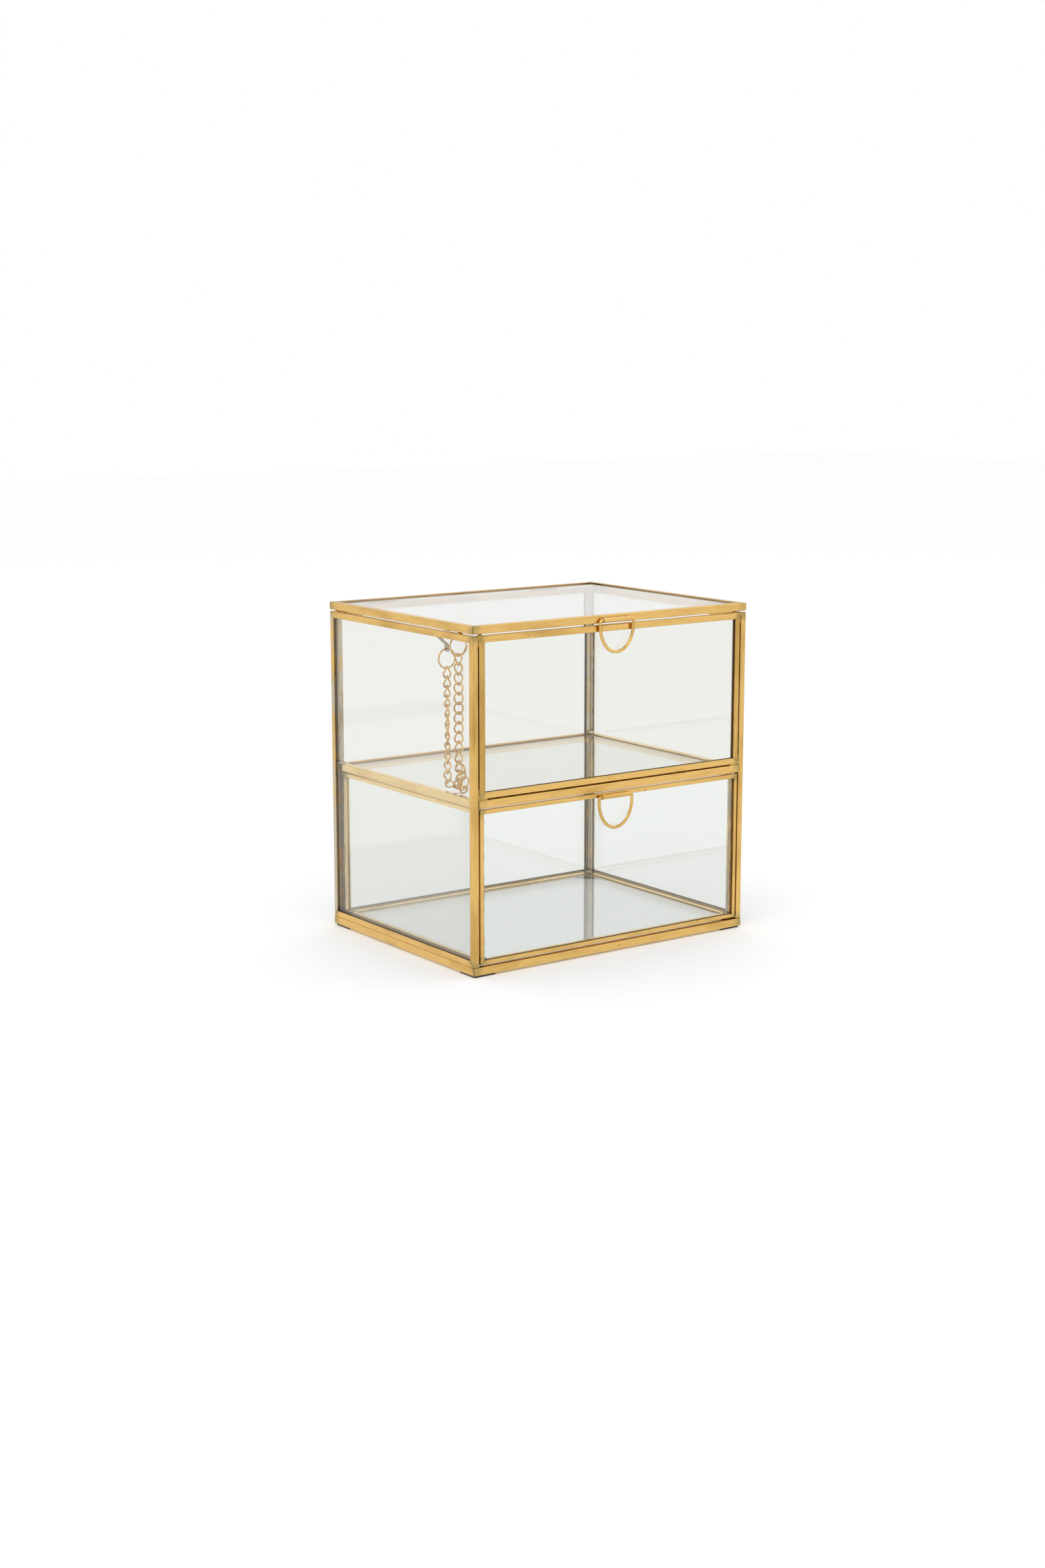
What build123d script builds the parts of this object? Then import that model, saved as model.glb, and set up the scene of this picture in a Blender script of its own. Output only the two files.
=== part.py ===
from build123d import *
import os
from math import floor, sqrt

# A glass jewelry box in two tiers, with a hinged lid, a drawer, wire pulls and a chain that stops the lid.
# Millimetres, +Z up, front towards -Y. The origin is on the floor, under the middle of the box.

# Whole box
box_width = 180.0
box_depth = 136.8
rim_height = 176.0  # floor to the top of the walls
shelf_height = 92.2  # floor to the top of the shelf
lid_gap = 0.9  # air between the walls and the lid

# Glass
tray_glass = 3.0  # base, shelf and lid
wall_glass = 2.2
drawer_glass = 1.8
glass_play = 0.2  # beside each face of a pane, inside its channel
edge_play = 0.3  # between the edge of a pane and the bottom of its channel

# Folded brass channel
brass_sheet = 0.4
fold_radius = 0.5  # outside of a fold
mitre_gap = 0.1
tray_lip = 3.4  # reach of the channel over the pane
wall_lip = 3.4
drawer_lip = 2.2

# Pads under the corners of the base
pad_leg = 13.0  # along the sides of the base
pad_thickness = 1.0
pad_inset = 1.0  # from the sides of the base to the pad

# Upper front wall, soldered between the side walls
front_side_gap = 0.6
front_slot = 0.7  # above the shelf
solder_length = 5.0

# Drawer
drawer_side_gap = 0.8
drawer_top_gap = 0.7
drawer_back_gap = 1.0
drawer_run_gap = 0.3  # under the floor frame, which slides on the base
drawer_wall_lift = 0.9  # from the underside of the floor frame up to the walls

# Hinges
hinge_spacing = 110.0
knuckle_diameter = 2.4
knuckle_length = 6.0
knuckle_gap = 0.2
knuckle_standoff = 0.2  # from the wall to the knuckle
leaf_sheet = 0.5
leaf_reach = 3.2
pin_diameter = 1.2
pin_play = 0.05  # on the radius
pin_head_diameter = 2.0
pin_head_length = 0.5

# Pulls
pull_wire = 1.7
pull_width = 21.8  # between the middles of the legs
pull_drop = 17.0  # from the axis to the middle of the wire at the bottom
pull_bend = 1.5  # at the top corners
pull_shoulder = 3.0  # from the axis to where the legs begin to curve
pull_tube_diameter = 2.5
pull_tube_play = 0.08  # on the radius
pull_tube_end_gap = 0.2  # from the tube to the bends of the wire
pull_foot_width = 1.4  # solder under the tube
pull_foot_height = 0.1
lid_pull_rise = 1.7  # axis above the underside of the lid
drawer_pull_fall = 1.9  # axis below the top of the drawer front

# Chain
link_length = 7.0
link_width = 5.4
link_wire = 0.9
hook_gap = 0.2  # between wires that hook into each other
ring_diameter = 11.0
ring_wire = 0.9
ring_wall_gap = 0.3
tab_sheet = 0.5
tab_width = 3.6
tab_hole = 1.7
tab_end = 1.5  # from the middle of the hole to the end of the tab
wall_tab_setback = 35.0  # from the front
wall_tab_drop = 10.3  # from the rim to the hole
wall_tab_straight = 2.2  # upright stretch above the hole
lid_tab_setback = 24.6
lid_tab_drop = 3.7  # from the underside of the lid to the hole
lid_tab_edge = 1.0  # from the side of the lid to the tab
wall_twist_start = 14.0  # turn of the first link about its strand, in degrees
wall_twist_end = 96.5  # turn of the last straight link
wall_tail_step = 7.5  # further turn of each link in the heap
lid_twist_start = 98.0
lid_twist_end = 212.0
lid_tail_step = 4.5
wall_heap_room = 6.3  # least height of the last straight link over the shelf
lid_heap_room = 8.8
wall_tail_turns = [("upper", 71), ("upper", 80), ("lower", 45), ("upper", 50)]
lid_tail_turns = [("upper", -40), ("upper", -80), ("upper", -80)]


def channel_thickness(glass):
    """Outside thickness of a channel that holds a pane."""
    return glass + 2 * (glass_play + brass_sheet)


tray_thickness = channel_thickness(tray_glass)
wall_thickness = channel_thickness(wall_glass)
drawer_thickness = channel_thickness(drawer_glass)
front_y = -box_depth / 2
back_y = box_depth / 2
base_top = pad_thickness + tray_thickness
lid_bottom = rim_height + lid_gap
inner_width = box_width - 2 * wall_thickness


# Framed panes

def channel_strip(length, glass, lip):
    """A mitred strip along X, with its web towards -Y and its lips towards +Y."""
    thickness = channel_thickness(glass)
    profile = Pos(lip / 2, 0) * Rectangle(lip, thickness)
    profile = fillet(profile.vertices().sort_by(Axis.X)[:2], fold_radius)
    profile -= Pos(lip / 2 + brass_sheet, 0) * Rectangle(lip, thickness - 2 * brass_sheet)
    strip = extrude(Plane.YZ * profile, length / 2, both=True)
    outer_end = (length - mitre_gap) / 2
    inner_end = outer_end - lip
    outline = Polyline((-outer_end, 0), (outer_end, 0), (inner_end, lip), (-inner_end, lip), close=True)
    return strip & extrude(make_face(outline), thickness, both=True)


def framed_pane(place, width, height, glass, lip):
    """Glass, rails along X and stiles along Y of a pane in the XY plane, moved to its place."""
    cover = 2 * (brass_sheet + edge_play)
    rail = Pos(0, -height / 2) * channel_strip(width, glass, lip)
    stile = Pos(-width / 2, 0) * Rot(Z=-90) * channel_strip(height, glass, lip)
    half_turn = Rot(Z=180)
    return {
        "glass": [place * Box(width - cover, height - cover, glass)],
        "rails": [place * rail, place * half_turn * rail],
        "stiles": [place * stile, place * half_turn * stile],
    }


def upright_span(low, high):
    """Height and middle of a pane that stands between two levels."""
    return high - low, (high + low) / 2


along_front = Plane.XZ.location
along_side = Plane.YZ.location
panes = {}

# Base, shelf and lid lie flat
panes["base"] = framed_pane(
    Pos(0, 0, base_top - tray_thickness / 2), box_width, box_depth, tray_glass, tray_lip)
shelf_depth = box_depth - wall_thickness
panes["shelf"] = framed_pane(
    Pos(0, front_y + shelf_depth / 2, shelf_height - tray_thickness / 2),
    inner_width, shelf_depth, tray_glass, tray_lip)
panes["lid"] = framed_pane(
    Pos(0, 0, lid_bottom + tray_thickness / 2), box_width, box_depth, tray_glass, tray_lip)

# Side and back walls stand on the base
wall_height, wall_middle = upright_span(base_top, rim_height)
for name, side in (("left_wall", -1), ("right_wall", 1)):
    middle_x = side * (box_width - wall_thickness) / 2
    panes[name] = framed_pane(
        Pos(middle_x, 0, wall_middle) * along_side, box_depth, wall_height, wall_glass, wall_lip)
panes["back_wall"] = framed_pane(
    Pos(0, back_y - wall_thickness / 2, wall_middle) * along_front,
    inner_width, wall_height, wall_glass, wall_lip)

# The upper front wall stands just clear of the shelf and of the side walls
front_width = inner_width - 2 * front_side_gap
front_bottom = shelf_height + front_slot
front_height, front_middle = upright_span(front_bottom, rim_height)
panes["front_wall"] = framed_pane(
    Pos(0, front_y + wall_thickness / 2, front_middle) * along_front,
    front_width, front_height, wall_glass, wall_lip)

# Drawer, with its floor inside the four walls
drawer_width = inner_width - 2 * drawer_side_gap
drawer_depth = box_depth - wall_thickness - drawer_back_gap
drawer_floor_bottom = base_top + drawer_run_gap
drawer_top = shelf_height - tray_thickness - drawer_top_gap
drawer_height, drawer_middle = upright_span(drawer_floor_bottom + drawer_wall_lift, drawer_top)
drawer_inner_depth = drawer_depth - 2 * drawer_thickness
drawer_y = front_y + drawer_depth / 2
for name, side in (("drawer_front", -1), ("drawer_back", 1)):
    middle_y = drawer_y + side * (drawer_depth - drawer_thickness) / 2
    panes[name] = framed_pane(
        Pos(0, middle_y, drawer_middle) * along_front,
        drawer_width, drawer_height, drawer_glass, drawer_lip)
for name, side in (("drawer_left", -1), ("drawer_right", 1)):
    middle_x = side * (drawer_width - drawer_thickness) / 2
    panes[name] = framed_pane(
        Pos(middle_x, drawer_y, drawer_middle) * along_side,
        drawer_inner_depth, drawer_height, drawer_glass, drawer_lip)
panes["drawer_floor"] = framed_pane(
    Pos(0, drawer_y, drawer_floor_bottom + drawer_thickness / 2),
    drawer_width - 2 * drawer_thickness, drawer_inner_depth, drawer_glass, drawer_lip)


# Three-cornered pads that the box stands on

pad_reach_x = box_width / 2 - pad_inset
pad_reach_y = box_depth / 2 - pad_inset
pad_outline = make_face(Polyline(
    (-pad_reach_x, -pad_reach_y), (pad_leg - pad_reach_x, -pad_reach_y), (-pad_reach_x, pad_leg - pad_reach_y),
    close=True))
front_left_pad = extrude(pad_outline, pad_thickness, dir=(0, 0, 1))
front_pads = [front_left_pad, mirror(front_left_pad, about=Plane.YZ)]
pads = front_pads + [mirror(pad, about=Plane.XZ) for pad in front_pads]


# Solder that joins the upper front wall to the posts and the shelf

def front_solder(side):
    """Beads at one end of the upper front wall: one at the top, one round the lower corner."""
    bead_depth = wall_thickness - 2 * fold_radius
    bead_y = front_y + wall_thickness / 2
    post_x = side * (inner_width - front_side_gap) / 2
    top = Pos(post_x, bead_y, rim_height - fold_radius - solder_length / 2)
    low = Pos(post_x, bead_y, shelf_height + (front_slot + solder_length) / 2)
    slot_width = solder_length + front_side_gap
    slot = Pos(side * (inner_width - slot_width) / 2, bead_y, shelf_height + front_slot / 2)
    corner = low * Box(front_side_gap, bead_depth, front_slot + solder_length)
    corner += slot * Box(slot_width, bead_depth, front_slot)
    return [top * Box(front_side_gap, bead_depth, solder_length), corner]


# Hinges behind the back wall, with their axis along X

hinge_y = back_y + knuckle_standoff + knuckle_diameter / 2
hinge_z = rim_height + lid_gap / 2
hinge_centres = (-hinge_spacing / 2, hinge_spacing / 2)
knuckle_step = knuckle_length + knuckle_gap


def along_x(diameter, length):
    """A round bar along X, in the middle of the frame."""
    return Rot(Y=90) * Cylinder(diameter / 2, length)


def knuckle(x, upright):
    """A knuckle with its leaf against the wall, up for the lid and down for the back wall."""
    seat = knuckle_standoff + knuckle_diameter / 2
    leaf = Pos(0, leaf_sheet / 2 - seat, upright * leaf_reach / 2) * Box(knuckle_length, leaf_sheet, leaf_reach)
    body = along_x(knuckle_diameter, knuckle_length) + leaf
    body -= along_x(pin_diameter + 2 * pin_play, knuckle_length)
    return Pos(x, hinge_y, hinge_z) * body


def hinge_pin(x):
    """A pin through three knuckles, with a head at each end."""
    shank_length = 2 * knuckle_step + knuckle_length
    pin = along_x(pin_diameter, shank_length)
    for end in (-1, 1):
        pin += Pos(end * (shank_length + pin_head_length) / 2, 0) * along_x(pin_head_diameter, pin_head_length)
    return Pos(x, hinge_y, hinge_z) * pin


wall_knuckles = [knuckle(x + end * knuckle_step, -1) for x in hinge_centres for end in (-1, 1)]
lid_knuckles = [knuckle(x, 1) for x in hinge_centres]
hinge_pins = [hinge_pin(x) for x in hinge_centres]


# Pulls, with their axis along X at the middle of the front

pull_y = front_y - pull_foot_height - pull_tube_diameter / 2
lid_pull_z = lid_bottom + lid_pull_rise
drawer_pull_z = drawer_top - drawer_pull_fall


def pull_tube(z):
    """Tube with a foot of solder that holds it to the face behind."""
    length = pull_width - 2 * (pull_bend + pull_tube_end_gap)
    seat = pull_tube_diameter / 2 + pull_foot_height
    tube = along_x(pull_tube_diameter, length) + Pos(0, seat / 2) * Box(length, seat, pull_foot_width)
    tube -= along_x(pull_wire + 2 * pull_tube_play, length)
    return Pos(0, pull_y, z) * tube


def pull_ring(z):
    """D-shaped ring of wire through the tube, hanging straight down."""
    half_width = pull_width / 2
    leg = FilletPolyline((0, 0), (half_width, 0), (half_width, -pull_shoulder), radius=pull_bend)
    bow = EllipticalCenterArc((0, -pull_shoulder), half_width, pull_drop - pull_shoulder, 270, arc_size=90)
    path = Plane.XZ * (leg + bow)
    half = sweep(Plane.YZ * Circle(pull_wire / 2), path=path)
    return Pos(0, pull_y, z) * (half + mirror(half, about=Plane.YZ))


# Chain: two strands that hang from rings, with their last links in a heap on the shelf

link_reach = (link_length - link_wire) / 2
link_spread = (link_width - link_wire) / 2
link_pitch = 2 * link_reach - link_wire - hook_gap
ring_radius = (ring_diameter - ring_wire) / 2
first_link_drop = 2 * ring_radius - (ring_wire + link_wire) / 2 - hook_gap + link_reach
chain_x = -inner_width / 2 + ring_diameter / 2 + ring_wall_gap
wall_hole = Vector(chain_x, front_y + wall_tab_setback, rim_height - wall_tab_drop)
lid_hole = Vector(chain_x, front_y + lid_tab_setback, lid_bottom - lid_tab_drop)


def straight_links(hole, heap_room):
    """How many links hang straight before the heap begins."""
    return 1 + floor((hole.Z - first_link_drop - shelf_height - heap_room) / link_pitch)


wall_links = straight_links(wall_hole, wall_heap_room)
lid_links = straight_links(lid_hole, lid_heap_room)
link_count = wall_links + len(wall_tail_turns) + lid_links + len(lid_tail_turns)
wall_twist = (wall_twist_start, wall_twist_end, wall_links, wall_tail_step)
lid_twist = (lid_twist_start, lid_twist_end, lid_links, lid_tail_step)


def biarc(start, start_way, end, end_way):
    """Two arcs that join two points with given directions."""
    span = end - start
    square = 2 * (start_way.dot(end_way) - 1)
    linear = -2 * span.dot(start_way + end_way)
    reach = (-linear - sqrt(linear**2 - 4 * square * span.dot(span))) / (2 * square)
    first_corner = start + start_way * reach
    last_corner = end - end_way * reach
    joint = (first_corner + last_corner) / 2
    first = TangentArc(start, joint, tangent=start_way)
    return [first, TangentArc(joint, end, tangent=last_corner - first_corner)]


def curb_link():
    """A twisted link along Z, whose two end wires cross at a right angle."""
    top = Vector(0, 0, link_reach)
    top_way = Vector(1, 1, 0).normalized()
    side = Vector(link_spread, 0, 0)
    side_way = Vector(0, -link_spread, -link_reach).normalized()
    bottom_way = Vector(-1, 1, 0).normalized()
    path = Wire(biarc(top, top_way, side, side_way) + biarc(side, side_way, -top, bottom_way))
    half = sweep(Plane(origin=top, z_dir=top_way) * Circle(link_wire / 2), path=path)
    return half + Rot(Z=180) * half


def link_twist(index, twist):
    """Turn of a link about its strand."""
    start, end, straight, tail_step = twist
    last = straight - 1
    if index > last:
        return end + (index - last) * tail_step
    return start + (end - start) * index / last


def link_height(index):
    """Height of a link in a straight strand, from the hole of the tab."""
    return -first_link_drop - index * link_pitch


def link_hook(index, wire, twist):
    """Where a link hooks into the one above it, with X along the wire that it turns about."""
    if wire == "upper":
        return Pos(0, 0, link_height(index - 1) - link_reach) * Rot(Z=135 + link_twist(index - 1, twist))
    return Pos(0, 0, link_height(index) + link_reach) * Rot(Z=45 + link_twist(index, twist))


def strand_places(hole, straight, tail_turns, twist):
    """Place of each link of a strand: straight down from its hole, then turned link by link."""
    places = []
    bend = Pos(hole)
    for index in range(straight + len(tail_turns)):
        if index >= straight:
            wire, angle = tail_turns[index - straight]
            hook = link_hook(index, wire, twist)
            bend = bend * hook * Rot(X=angle) * hook.inverse()
        places.append(bend * Pos(0, 0, link_height(index)) * Rot(Z=link_twist(index, twist)))
    return places


def jump_ring(hole):
    """Ring that hangs in the hole of a tab, square to the wall."""
    return Pos(hole) * Pos(0, 0, -ring_radius) * Plane.XZ.location * Torus(ring_radius, ring_wire / 2)


def chain_tab(hole, outline):
    """Bent strip with a hole near its lower end, from its middle line in the XZ plane."""
    strip = extrude(Plane.XZ * trace(Polyline(*outline), tab_sheet), tab_width / 2, both=True)
    return Pos(0, hole.Y, 0) * strip - Pos(hole) * along_x(tab_hole, 2 * tab_sheet)


def wall_tab():
    """Tab on the inside of the left wall, bent inwards so that its ring clears the wall."""
    seat_x = -inner_width / 2 + tab_sheet / 2
    return chain_tab(wall_hole, [
        (seat_x, rim_height - fold_radius),
        (seat_x, rim_height - wall_lip),
        (chain_x, wall_hole.Z + wall_tab_straight),
        (chain_x, wall_hole.Z - tab_end),
    ])


def lid_tab():
    """Tab on the underside of the lid, bent down inside the left wall."""
    seat_z = lid_bottom - tab_sheet / 2
    return chain_tab(lid_hole, [
        (-box_width / 2 + lid_tab_edge, seat_z),
        (chain_x, seat_z),
        (chain_x, lid_hole.Z - tab_end),
    ])


# Nodes

nodes = {}
for name, pieces in panes.items():
    for kind, solids in pieces.items():
        nodes[f"{name}_{kind}"] = solids
nodes["base_pads"] = pads
nodes["front_wall_solder"] = front_solder(-1) + front_solder(1)
nodes["hinge_wall_knuckles"] = wall_knuckles
nodes["hinge_lid_knuckles"] = lid_knuckles
nodes["hinge_pins"] = hinge_pins
nodes["lid_pull_tube"] = [pull_tube(lid_pull_z)]
nodes["lid_pull_ring"] = [pull_ring(lid_pull_z)]
nodes["drawer_pull_tube"] = [pull_tube(drawer_pull_z)]
nodes["drawer_pull_ring"] = [pull_ring(drawer_pull_z)]
nodes["chain_wall_tab"] = [wall_tab()]
nodes["chain_lid_tab"] = [lid_tab()]

link = curb_link()
strands = (
    ("wall", wall_hole, wall_links, wall_tail_turns, wall_twist),
    ("lid", lid_hole, lid_links, lid_tail_turns, lid_twist),
)
for name, hole, straight, tail_turns, twist in strands:
    places = strand_places(hole, straight, tail_turns, twist)
    nodes[f"chain_{name}_ring"] = [jump_ring(hole)]
    nodes[f"chain_{name}_strand"] = [place * link for place in places[:straight]]
    for number, place in enumerate(places[straight:], start=1):
        nodes[f"chain_{name}_end_link_{number}"] = [place * link]

os.makedirs("parts", exist_ok=True)
for name, solids in nodes.items():
    export_step(Compound(label=name, children=solids), f"parts/{name}.step")
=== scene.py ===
import math
import random

import bpy
from mathutils import Matrix, Vector


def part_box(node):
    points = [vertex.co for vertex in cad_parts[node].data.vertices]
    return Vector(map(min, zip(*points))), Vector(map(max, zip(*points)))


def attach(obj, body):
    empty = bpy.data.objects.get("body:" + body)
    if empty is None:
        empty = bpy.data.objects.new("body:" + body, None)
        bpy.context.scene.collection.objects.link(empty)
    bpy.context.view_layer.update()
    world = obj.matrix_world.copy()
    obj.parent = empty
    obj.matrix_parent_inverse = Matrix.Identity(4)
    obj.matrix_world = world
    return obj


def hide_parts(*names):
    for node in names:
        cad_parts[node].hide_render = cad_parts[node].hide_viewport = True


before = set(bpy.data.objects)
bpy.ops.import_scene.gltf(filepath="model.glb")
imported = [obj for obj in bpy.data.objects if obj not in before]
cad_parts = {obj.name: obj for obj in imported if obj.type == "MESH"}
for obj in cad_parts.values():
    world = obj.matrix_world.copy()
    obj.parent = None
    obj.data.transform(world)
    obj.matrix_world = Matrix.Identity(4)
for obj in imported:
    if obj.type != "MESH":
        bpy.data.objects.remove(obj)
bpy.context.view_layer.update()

bl_info = {
    "name": "Glass jewelry box",
    "version": (1, 0, 0),
    "blender": (4, 5, 0),
    "location": "View3D > Sidebar > Jewelry Box",
    "description": "Finishes, solder and studio for a two-tier box of glass panes in folded brass channel",
    "category": "Object",
}

MM = 0.001
RANDOM_SEED = 7

# Panes, each a glass with two rails and two stiles
CASE_PANES = ("base", "shelf", "left_wall", "right_wall", "back_wall", "front_wall")
DRAWER_PANES = ("drawer_front", "drawer_back", "drawer_left", "drawer_right", "drawer_floor")
ALL_PANES = CASE_PANES + ("lid",) + DRAWER_PANES
LEVEL_PANES = ("base", "shelf", "lid", "drawer_floor")
# Panes and strips seen through the glass, whose brass gets the paler inner colour: painted light
INNER_PANES = ("drawer_left", "drawer_back", "drawer_floor", "drawer_right")
INNER_STRIPS = ("shelf_stiles",)

# Strips duller than the rest, and how far strips are smeared with solder
DULL = {"front_wall_stiles": 0.12, "left_wall_stiles": 0.04, "back_wall_rails": 0.12}
TINNED = {
    "back_wall_stiles": 0.9,
    "left_wall_stiles": 0.9,
    "drawer_back_stiles": 0.8,
    "drawer_right_stiles": 0.8,
}
REAR_TINNED = ("left_wall_stiles",)  # smeared at the rear post only


# Settings that a user would change

class BrassSettings(bpy.types.PropertyGroup):
    bright: bpy.props.FloatVectorProperty(
        name="Bright brass", description="Colour of clean brass", subtype="COLOR", size=3,
        min=0, max=1, default=(0.78, 0.50, 0.165))
    # Inner: painted light, a paler brass for the strips seen through the glass, standing in for the pale
    # veil that the glass lays over them
    inner: bpy.props.FloatVectorProperty(
        name="Inner brass", description="Colour of the paler, untouched brass inside the box",
        subtype="COLOR", size=3, min=0, max=1, default=(0.98, 0.74, 0.36))
    aged: bpy.props.FloatVectorProperty(
        name="Aged brass", description="Colour of handled, duller brass", subtype="COLOR", size=3,
        min=0, max=1, default=(0.52, 0.31, 0.075))
    # Colour of real dark spots, also used for painted shade along edges, in seams and crevices, and for the
    # dark slot fill of painted shade
    grime_and_shade: bpy.props.FloatVectorProperty(
        name="Grime", description="Colour of the patina in seams and folds", subtype="COLOR", size=3,
        min=0, max=1, default=(0.10, 0.045, 0.010))
    gloss: bpy.props.FloatProperty(
        name="Roughness", description="Roughness of clean brass", subtype="FACTOR",
        min=0, max=1, default=0.20)


class GlassSettings(bpy.types.PropertyGroup):
    case_tint: bpy.props.FloatVectorProperty(
        name="Case tint", description="Colour that a pane of the case lets through", subtype="COLOR", size=3,
        min=0, max=1, default=(0.920, 0.923, 0.900))
    lid_tint: bpy.props.FloatVectorProperty(
        name="Lid tint", description="Colour that the pane of the lid lets through", subtype="COLOR", size=3,
        min=0, max=1, default=(0.840, 0.845, 0.815))
    drawer_tint: bpy.props.FloatVectorProperty(
        name="Drawer tint", description="Colour that a pane of the drawer lets through",
        subtype="COLOR", size=3, min=0, max=1, default=(0.968, 0.980, 0.976))
    bend: bpy.props.FloatProperty(
        name="Refractive index", description="How strongly the pane bends light", min=1, max=2, default=1.46)


class SolderSettings(bpy.types.PropertyGroup):
    colour: bpy.props.FloatVectorProperty(
        name="Solder", description="Colour of dull tin solder inside the box", subtype="COLOR", size=3,
        min=0, max=1, default=(0.56, 0.49, 0.37))
    golden: bpy.props.FloatVectorProperty(
        name="Golden solder", description="Colour of the solder that shows outside", subtype="COLOR", size=3,
        min=0, max=1, default=(0.56, 0.39, 0.13))
    stain: bpy.props.FloatVectorProperty(
        name="Stain", description="Olive stain of flux near the soldered corners", subtype="COLOR", size=3,
        min=0, max=1, default=(0.36, 0.28, 0.105))
    lip: bpy.props.FloatProperty(
        name="Lip", description="Reach of the channel over its pane, which a mitre runs across",
        subtype="DISTANCE", unit="LENGTH", default=3.4 * MM)
    drawer_lip: bpy.props.FloatProperty(
        name="Drawer lip", description="Reach of the drawer's narrower channel",
        subtype="DISTANCE", unit="LENGTH", default=2.2 * MM)
    ridge_width: bpy.props.FloatProperty(
        name="Ridge width", description="Width of the solder along a mitre",
        subtype="DISTANCE", unit="LENGTH", default=0.7 * MM)
    ridge_height: bpy.props.FloatProperty(
        name="Ridge height", description="Height of the solder over a mitre",
        subtype="DISTANCE", unit="LENGTH", default=0.1 * MM)


class StageSettings(bpy.types.PropertyGroup):
    camera_place: bpy.props.FloatVectorProperty(
        name="Camera", description="Place of the camera", subtype="TRANSLATION", unit="LENGTH", size=3,
        default=(-0.730744, -0.997566, 0.320463))
    camera_azimuth: bpy.props.FloatProperty(
        name="Azimuth", description="Camera's angle round the box", subtype="ANGLE",
        default=math.radians(-35.846))
    camera_elevation: bpy.props.FloatProperty(
        name="Elevation", description="Camera's angle over the horizon", subtype="ANGLE",
        default=math.radians(10.980))
    lens: bpy.props.FloatProperty(
        name="Lens", description="Focal length for a 36 mm long side", unit="CAMERA", default=52.486)
    sky: bpy.props.FloatProperty(
        name="Sky", description="Even light from all round", min=0, default=0.95)
    key: bpy.props.FloatProperty(
        name="Key lamp", description="Power of the large lamp over the left front", subtype="POWER",
        default=7.0)
    fill: bpy.props.FloatProperty(
        name="Fill lamp", description="Power of the lamp on the right", subtype="POWER", default=2.5)


SETTINGS = {
    "brass": BrassSettings,
    "glass": GlassSettings,
    "solder": SolderSettings,
    "stage": StageSettings,
}


class JewelBoxSettings(bpy.types.PropertyGroup):
    brass: bpy.props.PointerProperty(type=BrassSettings)
    glass: bpy.props.PointerProperty(type=GlassSettings)
    solder: bpy.props.PointerProperty(type=SolderSettings)
    stage: bpy.props.PointerProperty(type=StageSettings)


def settings():
    """The values shown in the sidebar."""
    return bpy.context.scene.jewel_box


# Node helpers

QUARTER_TURN = 0.25


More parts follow.
